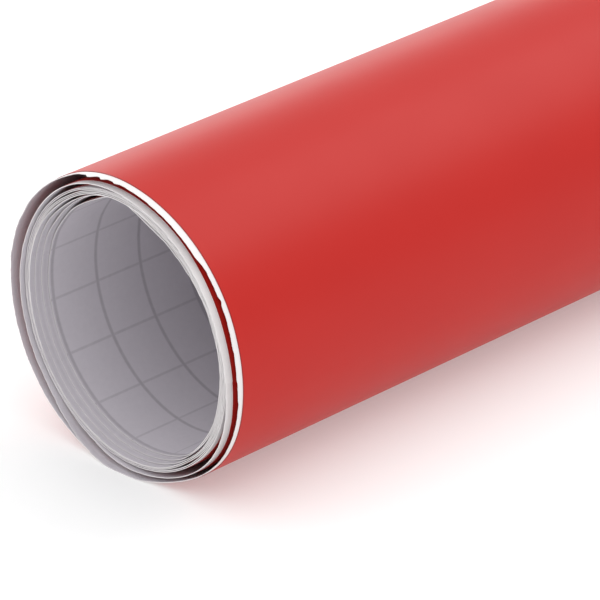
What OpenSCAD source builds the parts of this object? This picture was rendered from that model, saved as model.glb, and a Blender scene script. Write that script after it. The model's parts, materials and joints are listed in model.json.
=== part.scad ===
// Roll of self-adhesive sign vinyl: one long sheet wound on itself, with no core tube.
// The sheet is a coloured film, its adhesive coat and a paper release liner. The film faces out.
// The roll lies along X, and Z is up. The origin is under the middle of the roll, on the floor.
// Every turn is two half circles that meet on one line through the roll, the seam line.

/* [Sheet] */
// Width of the sheet, which is the length of the roll
sheet_w = 305; // [150:1:620]
// Thickness of the coloured vinyl film
film_t = 0.08; // [0.06:0.01:0.1]
// Thickness of the adhesive coat on the back of the film
adhesive_t = 0.02; // [0.02:0.01:0.03]
// Thickness of the paper release liner
liner_t = 0.13; // [0.1:0.01:0.15]
// How far the liner reaches past the film at each end of the roll
liner_margin = 1.2; // [0.2:0.1:3]

/* [Tight turns] */
// Radius of the open hollow in the middle of the roll
hollow_r = 23.5; // [20:0.5:40]
// Full turns wound tight, after the part turn that lines the hollow
tight_turns = 7; // [3:1:12]
// Air between one tight turn and the next
tight_gap = 0.02; // [0.02:0.01:0.1]

/* [Loose turns] */
// Air under the second turn, at the top of the roll
second_gap_top = 1; // [0.6:0.1:2]
// Air under the second turn, at the bottom of the roll
second_gap_bottom = 1.4; // [0.6:0.1:2]
// Air under the outer turn, at the top of the roll
outer_gap_top = 1.2; // [0.6:0.1:2]
// Air under the outer turn, at the bottom of the roll
outer_gap_bottom = 0.25; // [0.15:0.05:1]
// Width of the flat that the roll presses into its own underside
flat_w = 7.6; // [5:0.2:10]

/* [Free tail] */
// Angle of the first fold line of the free tail, from the seam line
tail_start = 58; // [46:1:60]
// Angle of the outer turn that each panel of the tail takes, apart from the end panel
panel_angle = 26; // [20:1:26]
// Angle of the outer turn that the end panel takes
end_angle = 40; // [28:1:40]
// Angle of the outer turn in the end strip of film that peels off the liner
lift_angle = 24; // [10:1:26]

/* [Hidden] */
$fn = 360;

FILM_RED = "#cf4a42";
ADHESIVE_CLEAR = "#e3b9ad";
LINER_WHITE = "#dcd8d6";

sheet_t = film_t + adhesive_t + liner_t;
film_w = sheet_w - 2 * liner_margin;
// How far each layer's outer face lies under the outer face of the sheet
film_depth = 0;
adhesive_depth = film_t;
liner_depth = film_t + adhesive_t;

// The top end of the seam line is this far round from the front, so that no seam is under the roll.
// Its sine is 0.96 and its cosine is 0.28, which keeps every arc's end exact.
seam_tilt = asin(0.96);
// Angle of the innermost arc, which lines the hollow as one true cylinder
lining_angle = 272;
// Half of the slit between two neighbouring pieces of the sheet, in degrees
slit = 0.05;
// How far an arc runs into the flat under the roll, in degrees, so that the two are one solid
lap = 0.05;
// Angle of one facet of the tail, which is drawn as narrow flats so that its thin layers stay in touch
facet = 2;

// Arcs and their crossings of the seam line are counted outwards from the hollow.
// Crossing m is at the bottom where m is odd, and at the top where it is even.
tight_pitch = sheet_t + tight_gap;
last_tight = 2 * tight_turns + 1;
second_mid = last_tight + 1;
outer_first = last_tight + 2;
outer_mid = last_tight + 3;
outer_last = last_tight + 4;
// The first arc outside the lining has to climb over the lining's free edge
first_climb = 2 * sheet_t + 0.06;

// Distance of the sheet's outer face from the middle of the hollow at crossing m
function crossing(m) =
    m == outer_last ? crossing(outer_first) + sheet_t + outer_gap_bottom :
    m == outer_mid ? crossing(second_mid) + sheet_t + outer_gap_top :
    m == outer_first ? crossing(last_tight) + sheet_t + second_gap_bottom :
    m == second_mid ? crossing(last_tight - 1) + sheet_t + second_gap_top :
    m % 2 == 1 ? hollow_r + sheet_t + tight_pitch * (m - 1) / 2 :
    hollow_r + sheet_t + first_climb + tight_pitch * (m - 2) / 2;
// Outer radius of arc m, which runs from crossing m to crossing m + 1
function arc_r(m) = m == 0 ? hollow_r + sheet_t : (crossing(m) + crossing(m + 1)) / 2;
// How far the middle of arc m lies from the middle of the hollow, towards the top crossing
function arc_lift(m) =
    m == 0 ? 0 : (m % 2 == 1 ? 1 : -1) * (crossing(m + 1) - crossing(m)) / 2;

tail_end = tail_start + 3 * panel_angle + end_angle;
flat_half = asin(flat_w / 2 / arc_r(outer_first));
flat_mid = 270 - seam_tilt;
axis_z = arc_r(outer_first) * cos(flat_half) - arc_lift(outer_first) * sin(seam_tilt);
// The hollow is a little off the middle of the whole roll, because the sheet is a spiral
axis_y = (arc_r(outer_first) - arc_r(outer_mid)
    + (arc_lift(outer_first) + arc_lift(outer_mid)) * cos(seam_tilt)) / 2;

// Places the roll's own frame: its axis along X, with the seam line leaning back
module in_roll() {
    translate([0, axis_y, axis_z]) rotate([90, 0, -90]) rotate([0, 0, seam_tilt]) children();
}

// One layer of the sheet along arc m, from angle a0 to a1
module arc_layer(m, a0, a1, depth, t, w) {
    translate([arc_lift(m), 0, 0]) rotate_extrude(angle = a1 - a0, start = a0)
        translate([arc_r(m) - depth - t, -w / 2]) square([t, w]);
}

// One layer of the sheet where the roll's own weight presses it flat on the floor
module flat_layer(m, a0, a1, depth, t, w) {
    outer = arc_r(m) - depth;
    inner = outer - t;
    translate([arc_lift(m), 0, 0]) linear_extrude(w, center = true) polygon([
        [inner * cos(a0), inner * sin(a0)],
        [outer * cos(a0), outer * sin(a0)],
        [outer * cos(a1), outer * sin(a1)],
        [inner * cos(a1), inner * sin(a1)]
    ]);
}

// One layer of the tail, as flat facets along arc m
module facet_layer(m, a0, a1, depth, t, w) {
    outer = arc_r(m) - depth;
    inner = outer - t;
    angles = [a0 + slit, each [a0 + facet : facet : a1 - facet], a1 - slit];
    translate([arc_lift(m), 0, 0]) linear_extrude(w, center = true) polygon([
        for (a = angles) [outer * cos(a), outer * sin(a)],
        for (i = [len(angles) - 1 : -1 : 0]) [inner * cos(angles[i]), inner * sin(angles[i])]
    ]);
}

// The lining arc and the tight turns around it
module inner_turns(depth, t, w) {
    in_roll() {
        arc_layer(0, 180 - lining_angle, 180, depth, t, w);
        for (m = [1 : last_tight - 1])
            arc_layer(m, m % 2 == 1 ? 180 : 0, m == last_tight - 1 ? 180 - slit : m % 2 == 1 ? 360 : 180,
                depth, t, w);
    }
}

// The loose turn between the tight turns and the outer turn
module second_turn(depth, t, w) {
    in_roll() {
        arc_layer(last_tight, 180 + slit, 360, depth, t, w);
        arc_layer(second_mid, 0, 180 - slit, depth, t, w);
    }
}

// The outer turn, from under the roll up the front and over the top to the tail
module outer_turn(depth, t, w) {
    in_roll() {
        arc_layer(outer_first, 180 + slit, flat_mid - flat_half + lap, depth, t, w);
        flat_layer(outer_first, flat_mid - flat_half, flat_mid + flat_half, depth, t, w);
        arc_layer(outer_first, 360, flat_mid + flat_half - lap, depth, t, w);
        arc_layer(outer_mid, 0, tail_start - slit, depth, t, w);
    }
}

// Panel n of the tail, which takes this angle of the outer turn
module tail_panel(n, angle, depth, t, w) {
    start = tail_start + (n - 1) * panel_angle;
    in_roll() facet_layer(outer_mid, start, start + angle, depth, t, w);
}

// The end strip of film and adhesive, which peels off the liner of the end panel
module peel_strip(depth, t, w) {
    in_roll() facet_layer(outer_mid, tail_end - lift_angle, tail_end, depth, t, w);
}

module film_inner_turns() { color(FILM_RED) inner_turns(film_depth, film_t, film_w); }
module adhesive_inner_turns() { color(ADHESIVE_CLEAR) inner_turns(adhesive_depth, adhesive_t, film_w); }
module liner_inner_turns() { color(LINER_WHITE) inner_turns(liner_depth, liner_t, sheet_w); }
module film_second_turn() { color(FILM_RED) second_turn(film_depth, film_t, film_w); }
module adhesive_second_turn() { color(ADHESIVE_CLEAR) second_turn(adhesive_depth, adhesive_t, film_w); }
module liner_second_turn() { color(LINER_WHITE) second_turn(liner_depth, liner_t, sheet_w); }
module film_outer_turn() { color(FILM_RED) outer_turn(film_depth, film_t, film_w); }
module adhesive_outer_turn() { color(ADHESIVE_CLEAR) outer_turn(adhesive_depth, adhesive_t, film_w); }
module liner_outer_turn() { color(LINER_WHITE) outer_turn(liner_depth, liner_t, sheet_w); }
module film_tail(n, angle = panel_angle) {
    color(FILM_RED) tail_panel(n, angle, film_depth, film_t, film_w);
}
module adhesive_tail(n, angle = panel_angle) {
    color(ADHESIVE_CLEAR) tail_panel(n, angle, adhesive_depth, adhesive_t, film_w);
}
module liner_tail(n, angle = panel_angle) {
    color(LINER_WHITE) tail_panel(n, angle, liner_depth, liner_t, sheet_w);
}
module film_peel_strip() { color(FILM_RED) peel_strip(film_depth, film_t, film_w); }
module adhesive_peel_strip() { color(ADHESIVE_CLEAR) peel_strip(adhesive_depth, adhesive_t, film_w); }

film_inner_turns();
adhesive_inner_turns();
liner_inner_turns();
film_second_turn();
adhesive_second_turn();
liner_second_turn();
film_outer_turn();
adhesive_outer_turn();
liner_outer_turn();
film_tail(1);  // film_tail_1
adhesive_tail(1);  // adhesive_tail_1
liner_tail(1);  // liner_tail_1
film_tail(2);  // film_tail_2
adhesive_tail(2);  // adhesive_tail_2
liner_tail(2);  // liner_tail_2
film_tail(3);  // film_tail_3
adhesive_tail(3);  // adhesive_tail_3
liner_tail(3);  // liner_tail_3
film_tail(4, end_angle - lift_angle);  // film_tail_4
adhesive_tail(4, end_angle - lift_angle);  // adhesive_tail_4
liner_tail(4, end_angle);  // liner_tail_4
film_peel_strip();
adhesive_peel_strip();
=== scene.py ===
import json
import math

import bpy
import numpy as np
from mathutils import Matrix, Vector


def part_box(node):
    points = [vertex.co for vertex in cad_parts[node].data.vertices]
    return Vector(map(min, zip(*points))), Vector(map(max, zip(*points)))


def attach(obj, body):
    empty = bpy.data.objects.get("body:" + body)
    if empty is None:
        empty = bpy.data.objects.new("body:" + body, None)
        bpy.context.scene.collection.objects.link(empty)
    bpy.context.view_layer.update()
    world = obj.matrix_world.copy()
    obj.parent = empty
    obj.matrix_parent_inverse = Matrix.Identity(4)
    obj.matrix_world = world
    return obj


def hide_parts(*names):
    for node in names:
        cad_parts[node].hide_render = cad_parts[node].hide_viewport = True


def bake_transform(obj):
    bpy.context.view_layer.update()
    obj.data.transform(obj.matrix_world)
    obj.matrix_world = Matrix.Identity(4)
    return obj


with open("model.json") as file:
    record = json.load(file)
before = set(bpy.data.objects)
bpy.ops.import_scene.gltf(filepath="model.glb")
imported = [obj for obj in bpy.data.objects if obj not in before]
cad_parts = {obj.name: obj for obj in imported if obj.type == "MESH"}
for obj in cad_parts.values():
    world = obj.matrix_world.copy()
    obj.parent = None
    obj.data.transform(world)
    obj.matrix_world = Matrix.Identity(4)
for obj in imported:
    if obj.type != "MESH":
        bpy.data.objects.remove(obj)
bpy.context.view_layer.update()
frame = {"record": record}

MM = 0.001

# ---------------------------------------------------------------- the wound sheet, as in the CAD
MOUNTS = {mount["name"]: mount for mount in frame["record"]["mounts"]}
HOLLOW_R = MOUNTS["hollow"]["dims"]["r_mm"] * MM
AXIS_Y, AXIS_Z = MOUNTS["hollow"]["pos_m"][1:]
SHEET_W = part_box("liner_inner_turns")[1][0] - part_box("liner_inner_turns")[0][0]
FILM_MARGIN = (SHEET_W - (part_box("film_inner_turns")[1][0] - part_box("film_inner_turns")[0][0])) / 2
FILM_T, ADHESIVE_T, LINER_T = 0.08 * MM, 0.02 * MM, 0.13 * MM
SHEET_T = FILM_T + ADHESIVE_T + LINER_T

# The winding: arcs of half a turn between crossings of the seam line, counted outwards
TIGHT_PITCH = 0.25 * MM
FIRST_CLIMB = 0.52 * MM
LAST_TIGHT = 15
OUTER_FIRST = LAST_TIGHT + 2
OUTER_MID = LAST_TIGHT + 3
LOOSE_GAPS = (1.0 * MM, 1.4 * MM, 1.2 * MM, 0.25 * MM)
SEAM_TILT = math.asin(0.96)
LINING = 272.0
FLAT_W = 7.6 * MM
TAIL_START = 58.0
PANEL = 26.0
END_PANEL = 40.0

# The same places as one running angle along the sheet, in degrees, from the hollow outwards
SHEET_START = 180.0 - LINING
SEAM_A = 180.0 * LAST_TIGHT
SEAM_B = 180.0 * OUTER_FIRST
FOLD_1 = 180.0 * OUTER_MID + TAIL_START
FOLDS = [FOLD_1 + PANEL * i for i in range(4)]
SHEET_END = FOLDS[3] + END_PANEL


def crossing(m):
    """Distance of the sheet's outer face from the middle of the hollow at seam crossing m."""
    if m > LAST_TIGHT:
        return crossing(m - 2) + SHEET_T + LOOSE_GAPS[m - LAST_TIGHT - 1]
    if m % 2:
        return HOLLOW_R + SHEET_T + TIGHT_PITCH * (m - 1) / 2
    return HOLLOW_R + SHEET_T + FIRST_CLIMB + TIGHT_PITCH * (m - 2) / 2


RADIUS = [HOLLOW_R + SHEET_T] + [(crossing(m) + crossing(m + 1)) / 2 for m in range(1, OUTER_MID + 1)]
LIFT = [0.0] + [(1 if m % 2 else -1) * (crossing(m + 1) - crossing(m)) / 2 for m in range(1, OUTER_MID + 1)]
RADIUS, LIFT = np.array(RADIUS), np.array(LIFT)
PRESSED_MIDDLE = 180.0 * (OUTER_FIRST - 1) + 270.0 - math.degrees(SEAM_TILT)
FLAT_HALF = math.degrees(math.asin(FLAT_W / 2 / RADIUS[OUTER_FIRST]))


def smooth(t):
    t = np.clip(t, 0.0, 1.0)
    return t * t * (3 - 2 * t)


def bump(x, middle, half):
    """A smooth hump that is 1 at the middle and 0 from half away. Both are angles, and wrap round."""
    return smooth(1 - np.abs((x - middle + 180) % 360 - 180) / half)


def wander(x, step, seed):
    """Smooth noise from -1 to 1 along x, with one random value every step."""
    values = np.random.RandomState(seed).uniform(-1, 1, 4096)
    cell = np.floor(x / step).astype(int)
    here, after = values[cell % 4096], values[(cell + 1) % 4096]
    return here + smooth(x / step - cell) * (after - here)


def turn_and_way(angle):
    """Which turn a running angle is on, counted from the hollow, and its direction round the roll.
    The direction is 0 in front, 90 on top, 180 behind and 270 underneath."""
    total = np.asarray(angle, float) + math.degrees(SEAM_TILT)
    return np.floor(total / 360), total % 360


def from_seam(angle):
    """The direction round the roll, counted on from the seam underneath, which is at -106 degrees."""
    return (angle + 180) % 360 + math.degrees(SEAM_TILT) - 180


# How far the loose turns leave their even spiral, in mm, set against the photo
DROPPED, HUGGING, BELLIED, CLOSING = 0.9, 1.05, 0.25, 0.2


def drift(angle):
    """How far the loose turns lie outside their even spiral. It is negative where they lie inside it."""
    dropped = DROPPED * smooth(1 - np.abs(angle - SEAM_A - 48) / 52)
    hugging = HUGGING * smooth((angle - SEAM_A - 205) / 60) * smooth((SEAM_B - 4 - angle) / 28)
    bellied = BELLIED * smooth(1 - np.abs(angle - SEAM_B - 61) / 42)
    closing = CLOSING * smooth((angle - SHEET_END + 30) / 30)
    return MM * (dropped - hugging + bellied - closing)


def section(angle, depth):
    """The sheet's y and z in the roll's end view at a running angle, at a depth under its outer face."""
    angle = np.asarray(angle, float)
    arc = np.where(angle < 180, 0, np.floor(angle / 180)).astype(int).clip(0, OUTER_MID)
    radius = RADIUS[arc] + drift(angle) - depth
    # the roll's weight presses the outer turn flat on the floor
    off = np.clip(angle - PRESSED_MIDDLE, -FLAT_HALF, FLAT_HALF)
    pressed = np.cos(np.radians(FLAT_HALF)) / np.cos(np.radians(off))
    radius = radius * np.where(np.abs(angle - PRESSED_MIDDLE) < FLAT_HALF, pressed, 1.0)
    a = np.radians(angle)
    u, v = LIFT[arc] + radius * np.cos(a), radius * np.sin(a)
    lean, rise = math.cos(SEAM_TILT), math.sin(SEAM_TILT)
    return AXIS_Y - (u * lean - v * rise), AXIS_Z + u * rise + v * lean


def run_length():
    """The length along the sheet's inner face at whole running angles, for the printed grid."""
    angle = np.arange(SHEET_START, SHEET_END + 1, 1.0)
    y, z = section(angle, SHEET_T)
    return angle, np.concatenate(([0.0], np.cumsum(np.hypot(np.diff(y), np.diff(z)))))


RUN_ANGLE, RUN_LENGTH = run_length()


def slip(angle):
    """How far along X the sheet has slipped out of line, because the wound turns telescope a little.
    The amounts are in mm, set from the outer rim's place in the photo."""
    turn, way = turn_and_way(angle)
    swayed = smooth((way - 70) / 50) * (1 - smooth((way - 290) / 40))
    inner = np.clip(3.6 - 1.3 * turn, 0, None) * swayed + 1.8 * smooth(1 - (angle - SHEET_START) / 75)
    inner = inner + (0.06 + 0.16 * swayed) * wander(angle, 130, 3) * smooth((angle - 900) / 300)
    front = from_seam(angle)
    low, under = smooth((20 - front) / 65), smooth((-53 - front) / 45)
    behind = smooth((front - 105) / 50)
    second = -1.3 + 1.9 * low - 1.8 * under + 0.4 * behind
    outer = 1.1 * low - 3.3 * under - 0.75 * smooth((front - 20) / 70) - 0.65 * behind
    outer = outer - 0.8 * smooth((front - 190) / 50) * (angle < SEAM_B + 100)
    in_second = smooth((angle - SEAM_A + 40) / 80)
    in_outer = smooth((angle - SEAM_B + 40) / 80)
    return MM * (inner * (1 - in_second) + second * (in_second - in_outer) + outer * in_outer)


# Places near the ends of the roll where turns have sprung loose and sag into the hollow:
# the last turn that sags, the direction of the middle and the half angle in degrees, and the depth
SAGS = ((0, 118, 24, 0.5 * MM), (2, 118, 45, 0.32 * MM), (1, 146, 13, 0.28 * MM), (3, 136, 12, 0.16 * MM),
    (5, 124, 20, 0.2 * MM), (1, 318, 22, 0.3 * MM), (4, 308, 18, 0.25 * MM))
SAG_REACH = 38 * MM


def sag(angle, x):
    """How far the sheet sags into the hollow at running angles, by places across it."""
    turn, way = turn_and_way(angle)
    deep = sum(depth * bump(way, middle, half) * (turn <= last) for last, middle, half, depth in SAGS)
    deep = deep + 0.07 * MM * wander(way / 360 * 14, 1, 5) * (angle < SEAM_B)
    return deep[:, None] * smooth(1 - (SHEET_W / 2 - np.abs(x)) / SAG_REACH)[None, :]


# Nicks in the outer turn's paper edge: the direction and the half angle in degrees, and the depth
NICKS = ((114, 7, 0.5 * MM), (121, 2, -0.3 * MM), (104, 3.5, -0.75 * MM), (97.5, 2.5, -0.6 * MM),
    (91, 2, -0.3 * MM), (31, 1.6, 0.25 * MM), (-8, 2, 0.12 * MM), (12, 3, 0.12 * MM), (150, 6, 0.25 * MM),
    (171, 4, -0.15 * MM))
# The paper's edge is rough in a different way at each end of the roll, and only the near one is nicked
NEAR_EDGE, FAR_EDGE = 11, 57


def paper_edge(angle, end):
    """How far the liner's torn edge stands back from a straight cut, at one end of the roll."""
    turn, way = turn_and_way(angle)
    rough = 0.05 * MM * wander(angle, 2.6, end) + 0.035 * MM * wander(angle, 0.8, end + 1)
    torn = sum(depth * bump(way, middle, half) for middle, half, depth in NICKS)
    front = from_seam(angle)
    torn = torn + 0.38 * MM * smooth((49 - front) / 5) - 0.28 * MM * bump(front, 8, 24)
    return rough + torn * smooth((angle - SEAM_B) / 60) * (end == NEAR_EDGE)


def film_margin(angle):
    """How far the film stops short of the paper's edge. It comes nearer behind and under the second turn,
    so that the gap there looks dark red."""
    second = smooth((angle - SEAM_A) / 60)
    outer = smooth((angle - SEAM_B) / 60)
    hidden = smooth((angle - SEAM_A - 215) / 40) * smooth((SEAM_B - 10 - angle) / 40)
    extra = 0.25 * (second - outer) - 1.1 * hidden + 0.05 * outer + 0.03 * wander(angle, 25, 9)
    return FILM_MARGIN + MM * extra


# The mesh has a row at each of these distances in from both ends of the roll, closer near the ends
STEPS_IN = np.array([0.0, 0.25, 0.7, 1.6, 3.5, 7.5, 15.0, 27.0, 45.0, 80.0]) * MM

# How far in from the paper's edge its roughness moves the mesh
EDGE_REACH = 1.5 * MM


def wall(name, layer, start, end, step):
    """A closed thin solid of one layer of the sheet, from one running angle to another."""
    depth, thick, margin, edge, materials = LAYERS[layer]
    rows = max(2, int(math.ceil((end - start) / step)) + 1)
    angle = np.linspace(start, end, rows)
    half = SHEET_W / 2 - (margin(angle) if margin else np.zeros(rows))
    left = -(half[:, None] - STEPS_IN[None, :])
    if edge:
        held = np.clip(1 - STEPS_IN / EDGE_REACH, 0, 1)[None, :]
        right = -left[:, ::-1] - edge(angle, FAR_EDGE)[:, None] * held[:, ::-1]
        left = left + edge(angle, NEAR_EDGE)[:, None] * held
    else:
        right = -left[:, ::-1]
    across = np.concatenate((left, np.zeros((rows, 1)), right), 1)
    cols = across.shape[1]
    x = across + slip(angle)[:, None]
    sunk = sag(angle, across.mean(0))
    length = np.interp(angle, RUN_ANGLE, RUN_LENGTH)
    verts, lay = [], []
    for face_depth in (depth, depth + thick):
        y, z = section(angle[:, None], face_depth + sunk)
        verts.append(np.stack((x, y, z), -1).reshape(-1, 3))
        lay.append(np.stack((np.repeat(length[:, None], cols, 1), across, half[:, None] - np.abs(across)),
            -1).reshape(-1, 3))
    out, inn = np.arange(2 * rows * cols).reshape(2, rows, cols)

    def quads(a, b, c, d):
        return np.stack((a.ravel(), b.ravel(), c.ravel(), d.ravel()), -1)

    sides = [
        quads(out[:-1, :-1], out[1:, :-1], out[1:, 1:], out[:-1, 1:]),
        quads(inn[:-1, :-1], inn[:-1, 1:], inn[1:, 1:], inn[1:, :-1]),
        quads(out[:-1, 0], inn[:-1, 0], inn[1:, 0], out[1:, 0]),
        quads(out[:-1, -1], out[1:, -1], inn[1:, -1], inn[:-1, -1]),
        quads(out[0, :-1], out[0, 1:], inn[0, 1:], inn[0, :-1]),
        quads(out[-1, :-1], inn[-1, :-1], inn[-1, 1:], out[-1, 1:]),
    ]
    mesh = bpy.data.meshes.new(name)
    mesh.from_pydata(np.concatenate(verts).tolist(), [], np.concatenate(sides).tolist())
    flat_lay = np.concatenate(lay).astype(np.float32).ravel()
    mesh.attributes.new("lay", "FLOAT_VECTOR", "POINT").data.foreach_set("vector", flat_lay)
    for one in materials:
        mesh.materials.append(one)
    if len(materials) > 1:
        slots = np.concatenate([np.full(len(side), 1 if i == 1 else 0) for i, side in enumerate(sides)])
        mesh.polygons.foreach_set("material_index", slots.astype(np.int32))
    mesh.polygons.foreach_set("use_smooth", np.ones(len(mesh.polygons), bool))
    mesh.set_sharp_from_angle(angle=math.radians(35))
    mesh.update()
    piece = bpy.data.objects.new(name, mesh)
    bpy.context.scene.collection.objects.link(piece)
    return piece


# ---------------------------------------------------------------- materials
def srgb(r, g, b):
    def one(c):
        c /= 255
        return c / 12.92 if c <= 0.04045 else ((c + 0.055) / 1.055) ** 2.4
    return (one(r), one(g), one(b), 1.0)


def new_material(name):
    material = bpy.data.materials.new(name)
    material.use_nodes = True
    tree = material.node_tree
    return material, tree, tree.nodes["Principled BSDF"]


def add(tree, kind, **values):
    node = tree.nodes.new(kind)
    for key, value in values.items():
        setattr(node, key, value)
    return node


def noise(tree, vector, scale, detail=2.0, roughness=0.5):
    node = add(tree, "ShaderNodeTexNoise")
    node.inputs["Scale"].default_value = scale
    node.inputs["Detail"].default_value = detail
    node.inputs["Roughness"].default_value = roughness
    tree.links.new(vector, node.inputs["Vector"])
    return node


def math_node(tree, operation, a, b=None, clamp=False):
    node = add(tree, "ShaderNodeMath", operation=operation, use_clamp=clamp)
    for slot, value in zip(node.inputs, (a, b)):
        if value is None:
            continue
        if isinstance(value, (int, float)):
            slot.default_value = value
        else:
            tree.links.new(value, slot)
    return node.outputs[0]


def mix_colour(tree, factor, a, b):
    node = add(tree, "ShaderNodeMix", data_type="RGBA")
    factor_slot, a_slot, b_slot = node.inputs[0], node.inputs[6], node.inputs[7]
    for slot, value in ((factor_slot, factor), (a_slot, a), (b_slot, b)):
        if isinstance(value, (int, float)) or isinstance(value, tuple):
            slot.default_value = value
        else:
            tree.links.new(value, slot)
    return node.outputs[2]


def lay_part(tree, axis):
    """Where a point lies on the sheet: along it (0), across it (1), or its distance from the edge (2)."""
    lay = add(tree, "ShaderNodeAttribute", attribute_name="lay")
    parts = add(tree, "ShaderNodeSeparateXYZ")
    tree.links.new(lay.outputs["Vector"], parts.inputs[0])
    return parts.outputs[axis]


def map_range(tree, value, *limits, kind="SMOOTHSTEP"):
    """The value taken from one range to another, with the limits as from, from, to, to."""
    node = add(tree, "ShaderNodeMapRange", interpolation_type=kind)
    tree.links.new(value, node.inputs["Value"])
    for slot, limit in zip(("From Min", "From Max", "To Min", "To Max"), limits):
        node.inputs[slot].default_value = limit
    return node.outputs[0]


def film_material():
    """Calendered PVC film: an even red with a satin face, and painted shade along its cut edge."""
    material, tree, shader = new_material("red_film")
    place = add(tree, "ShaderNodeTexCoord").outputs["Object"]
    cloud = noise(tree, place, 60.0, 3.0)
    colour = mix_colour(tree, cloud.outputs[0], srgb(184, 30, 22), srgb(179, 27, 20))
    from_edge = lay_part(tree, 2)
    # Painted shade: within a quarter millimetre of its cut edge the film's face is shaded half way to deep
    # red, a painted shadow of the step down to the paper
    painted_edge_shade = map_range(tree, from_edge, 0.1 * MM, 0.24 * MM, 0.5, 0.0)
    colour = mix_colour(tree, painted_edge_shade, colour, srgb(92, 10, 12))
    tree.links.new(colour, shader.inputs["Base Color"])
    rough = math_node(tree, "ADD", math_node(tree, "MULTIPLY", cloud.outputs[0], 0.06), 0.40)
    tree.links.new(rough, shader.inputs["Roughness"])
    grain = noise(tree, place, 2600.0, 2.0, 0.6)
    relief = add(tree, "ShaderNodeBump")
    relief.inputs["Strength"].default_value = 0.05
    relief.inputs["Distance"].default_value = 0.00002
    tree.links.new(grain.outputs[0], relief.inputs["Height"])
    tree.links.new(relief.outputs[0], shader.inputs["Normal"])
    shader.inputs["Specular IOR Level"].default_value = 0.25
    return material


def adhesive_material():
    material, tree, shader = new_material("clear_adhesive")
    place = add(tree, "ShaderNodeTexCoord").outputs["Object"]
    cloud = noise(tree, place, 300.0, 3.0)
    colour = mix_colour(tree, cloud.outputs[0], srgb(214, 120, 110), srgb(205, 104, 96))
    tree.links.new(colour, shader.inputs["Base Color"])
    rough = math_node(tree, "ADD", math_node(tree, "MULTIPLY", cloud.outputs[0], 0.1), 0.16)
    tree.links.new(rough, shader.inputs["Roughness"])
    relief = add(tree, "ShaderNodeBump")
    relief.inputs["Strength"].default_value = 0.1
    relief.inputs["Distance"].default_value = 0.00002
    tree.links.new(noise(tree, place, 1500.0).outputs[0], relief.inputs["Height"])
    tree.links.new(relief.outputs[0], shader.inputs["Normal"])
    return material


GRID = 10 * MM
# Half widths and strengths of the lines that run across the sheet, and of the lines that run along it
GRID_LINES = ((0.36 * MM, 0.62), (0.5 * MM, 1.0))
# The print is faint near the sheet's edges, apart from on the innermost turn
FAINT_EDGE = (1.8 * MM, 3.4 * MM)
INNERMOST = (0.146, 0.16)
GRID_PHASE = (5.6 * MM, -1.8 * MM)


def paper_material(name, shaded_and_printed):
    """Release paper: smooth and white, with a fine grid inked on the face that looks into the roll, and that
    face painted a darker violet grey as shade.
    """
    material, tree, shader = new_material(name)
    place = add(tree, "ShaderNodeTexCoord").outputs["Object"]
    fibre = noise(tree, place, 900.0, 4.0, 0.6)
    cloud = noise(tree, place, 45.0, 2.0)
    if shaded_and_printed:
        # Painted shade: this face, which looks into the roll, is a darker violet grey than the back, standing
        # in for the shade inside the roll
        pale, dull = srgb(215, 210, 216), srgb(205, 200, 207)
    else:
        pale, dull = srgb(234, 230, 229), srgb(225, 221, 220)
    colour = mix_colour(tree, fibre.outputs[0], pale, dull)
    clouded = math_node(tree, "MULTIPLY", cloud.outputs[0], 0.25)
    colour = mix_colour(tree, clouded, colour, srgb(206, 202, 210))
    if shaded_and_printed:
        lines = []
        for axis, (reach, strength) in enumerate(GRID_LINES):
            shifted = math_node(tree, "SUBTRACT", lay_part(tree, axis), GRID_PHASE[axis])
            away = math_node(tree, "PINGPONG", shifted, GRID / 2)
            lines.append(map_range(tree, away, 0.25 * reach, reach, strength, 0.0))
        inked = math_node(tree, "MAXIMUM", *lines)
        near_edge = map_range(tree, lay_part(tree, 2), *FAINT_EDGE, 0.72, 0.0)
        further_out = map_range(tree, lay_part(tree, 0), *INNERMOST, 0.0, 1.0)
        faint = math_node(tree, "SUBTRACT", 1.0, math_node(tree, "MULTIPLY", near_edge, further_out))
        inked = math_node(tree, "MULTIPLY", inked, faint)
        worn = math_node(tree, "ADD", math_node(tree, "MULTIPLY", fibre.outputs[0], 0.15), 0.3)
        colour = mix_colour(tree, math_node(tree, "MULTIPLY", inked, worn), colour, srgb(120, 114, 122))
    tree.links.new(colour, shader.inputs["Base Color"])
    rough = math_node(tree, "ADD", math_node(tree, "MULTIPLY", fibre.outputs[0], 0.12), 0.42)
    tree.links.new(rough, shader.inputs["Roughness"])
    relief = add(tree, "ShaderNodeBump")
    relief.inputs["Strength"].default_value = 0.08
    relief.inputs["Distance"].default_value = 0.00003
    tree.links.new(fibre.outputs[0], relief.inputs["Height"])
    tree.links.new(relief.outputs[0], shader.inputs["Normal"])
    return material


RED = film_material()
GLUE = adhesive_material()
PAPER_BACK = paper_material("liner_back", False)
PAPER_GRID_SHADED = paper_material("liner_grid_shaded", True)

# ---------------------------------------------------------------- the pieces
# Each layer: the depth of its outer face, its thickness, its margin, its edge and its materials
LAYERS = {
    "film": (0.0, FILM_T, film_margin, None, (RED,)),
    "adhesive": (FILM_T, ADHESIVE_T, film_margin, None, (GLUE,)),
    "liner": (FILM_T + ADHESIVE_T, LINER_T, None, paper_edge, (PAPER_BACK, PAPER_GRID_SHADED)),
}
# Where the visible sheet is divided.
SEAM_SPANS = (90.0, 50.0)
BEND_CUTS = [fold + PANEL / 2 for fold in FOLDS]
BEND_START = BEND_CUTS[0] - PANEL


def place(angle):
    """The middle of the sheet's section at a running angle, as a point in the roll's frame."""
    y, z = section(angle, SHEET_T / 2)
    return (0.0, float(y), float(z))


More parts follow.
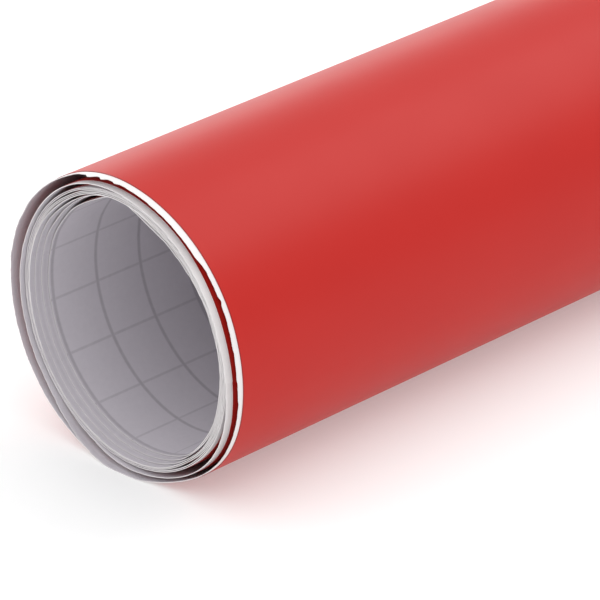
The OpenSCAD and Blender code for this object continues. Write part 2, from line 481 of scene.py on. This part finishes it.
def layer_piece(layer, part, start, end, step, under, *nodes):
    """One piece of one layer."""
    piece = wall(f"{layer}_{part}", layer, start, end, step)
    if nodes:
        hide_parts(*nodes)
    width = SHEET_W if layer == "liner" else SHEET_W - 2 * float(film_margin(np.array([start])).mean())
    return piece


def wound_piece(part, body, start, end, step, under, node):
    for layer in LAYERS:
        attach(layer_piece(layer, part, start, end, step, under, f"{layer}_{node}"), body)


def seam_piece(part, seam, step, under):
    """The stretch of sheet over a seam."""
    for layer in LAYERS:
        before, after = seam - SEAM_SPANS[0], seam + SEAM_SPANS[1]
        piece = layer_piece(layer, part, before, after, step, under)
        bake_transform(piece)


def tail_piece(number, start, end):
    """The stretch of the tail over one fold line."""
    for layer in LAYERS:
        piece = layer_piece(layer, f"bend_{number}", start, end, 0.5, "film_second", f"{layer}_tail_{number}")
        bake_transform(piece)


wound_piece("inner", "inner_turns", SHEET_START, SEAM_A - SEAM_SPANS[0], 1.5, "film_inner", "inner_turns")
seam_piece("seam_1", SEAM_A, 1.0, "film_inner")
wound_piece("second", "second_turn", SEAM_A + SEAM_SPANS[1], SEAM_B - SEAM_SPANS[0], 0.5, "film_inner",
    "second_turn")
seam_piece("seam_2", SEAM_B, 0.5, "film_second")
wound_piece("outer", "outer_turn", SEAM_B + SEAM_SPANS[1], BEND_START, 0.5, "film_second", "outer_turn")
for number in range(1, 5):
    tail_piece(number, ([BEND_START] + BEND_CUTS)[number - 1],
        BEND_CUTS[number - 1])
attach(layer_piece("liner", "end", BEND_CUTS[3], SHEET_END, 0.5, "film_second"), "tail_4")
for layer in ("film", "adhesive"):
    piece = layer_piece(layer, "end", BEND_CUTS[3], SHEET_END, 0.5, "film_second", f"{layer}_peel_strip")
    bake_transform(piece)

# ---------------------------------------------------------------- floor, lights and camera
# Directions of the view: the roll's axis is seen turned away to the right, from a little above
VIEW_HEADING = math.radians(46.55)
VIEW_DROP = math.radians(28.03)
CAMERA_FROM_RIM = Vector((-0.465, -0.53403, 0.38231))
RIM_MIDDLE = Vector((-SHEET_W / 2, AXIS_Y, AXIS_Z + 0.45 * MM))
LENS_MM = 286.3
FLOOR_HALF = 12.0
# The floor gives off a little light of its own, so that it looks white as in the photo
FLOOR_GLOW = 0.28
# The tent's brightness: from and to these heights of direction, it goes from and to these strengths
TENT = (0.2, 0.75, 0.8, 1.3)
# Each light: its place, its width and height, and its power in watts
LIGHTS = {
    "soft_box": ((0.97, -0.24, 1.25), (1.4, 0.6), 6.0),
    "rim_light": ((1.2, 1.56, 0.28), (1.8, 0.5), 5.0),
}
LIGHT_TARGET = (0, 0, 0.03)


def make_camera():
    data = bpy.data.cameras.new("camera")
    data.lens = LENS_MM
    data.sensor_width = 36.0
    data.clip_start, data.clip_end = 0.05, 20.0
    camera = bpy.data.objects.new("camera", data)
    bpy.context.scene.collection.objects.link(camera)
    level = math.cos(VIEW_DROP)
    forward = Vector((math.cos(VIEW_HEADING) * level, math.sin(VIEW_HEADING) * level, -math.sin(VIEW_DROP)))
    camera.rotation_mode = "QUATERNION"
    camera.rotation_quaternion = forward.to_track_quat("-Z", "Y")
    camera.location = RIM_MIDDLE + CAMERA_FROM_RIM
    bpy.context.scene.camera = camera


def make_floor():
    half = FLOOR_HALF
    corners = [(-half, -half, 0), (half, -half, 0), (half, half, 0), (-half, half, 0)]
    mesh = bpy.data.meshes.new("floor")
    mesh.from_pydata(corners, [], [(0, 1, 2, 3)])
    floor = bpy.data.objects.new("floor", mesh)
    bpy.context.scene.collection.objects.link(floor)
    material, tree, shader = new_material("pale_floor")
    place = add(tree, "ShaderNodeTexCoord").outputs["Object"]
    cloud = noise(tree, place, 3.0)
    colour = mix_colour(tree, cloud.outputs[0], (0.71, 0.71, 0.71, 1), (0.73, 0.73, 0.73, 1))
    tree.links.new(colour, shader.inputs["Base Color"])
    shader.inputs["Roughness"].default_value = 0.9
    shader.inputs["Emission Color"].default_value = (1, 1, 1, 1)
    shader.inputs["Emission Strength"].default_value = FLOOR_GLOW
    mesh.materials.append(material)


def area_light(name, place, size, power):
    data = bpy.data.lights.new(name, "AREA")
    data.shape = "RECTANGLE"
    data.size, data.size_y = size
    data.energy = power
    light = bpy.data.objects.new(name, data)
    light.location = place
    light.rotation_mode = "QUATERNION"
    light.rotation_quaternion = (Vector(LIGHT_TARGET) - Vector(place)).to_track_quat("-Z", "Y")
    bpy.context.scene.collection.objects.link(light)


def make_studio():
    """A white tent that is brightest overhead, a soft box at the far end, and a low light behind the roll."""
    world = bpy.data.worlds.new("studio")
    world.use_nodes = True
    tree = world.node_tree
    parts = add(tree, "ShaderNodeSeparateXYZ")
    tree.links.new(add(tree, "ShaderNodeTexCoord").outputs["Generated"], parts.inputs[0])
    back = tree.nodes["Background"]
    back.inputs["Color"].default_value = (1, 1, 1, 1)
    tree.links.new(map_range(tree, parts.outputs[2], *TENT), back.inputs["Strength"])
    bpy.context.scene.world = world
    for name, light in LIGHTS.items():
        area_light(name, *light)


bpy.context.scene.view_settings.view_transform = "Standard"
make_camera()
make_floor()
make_studio()
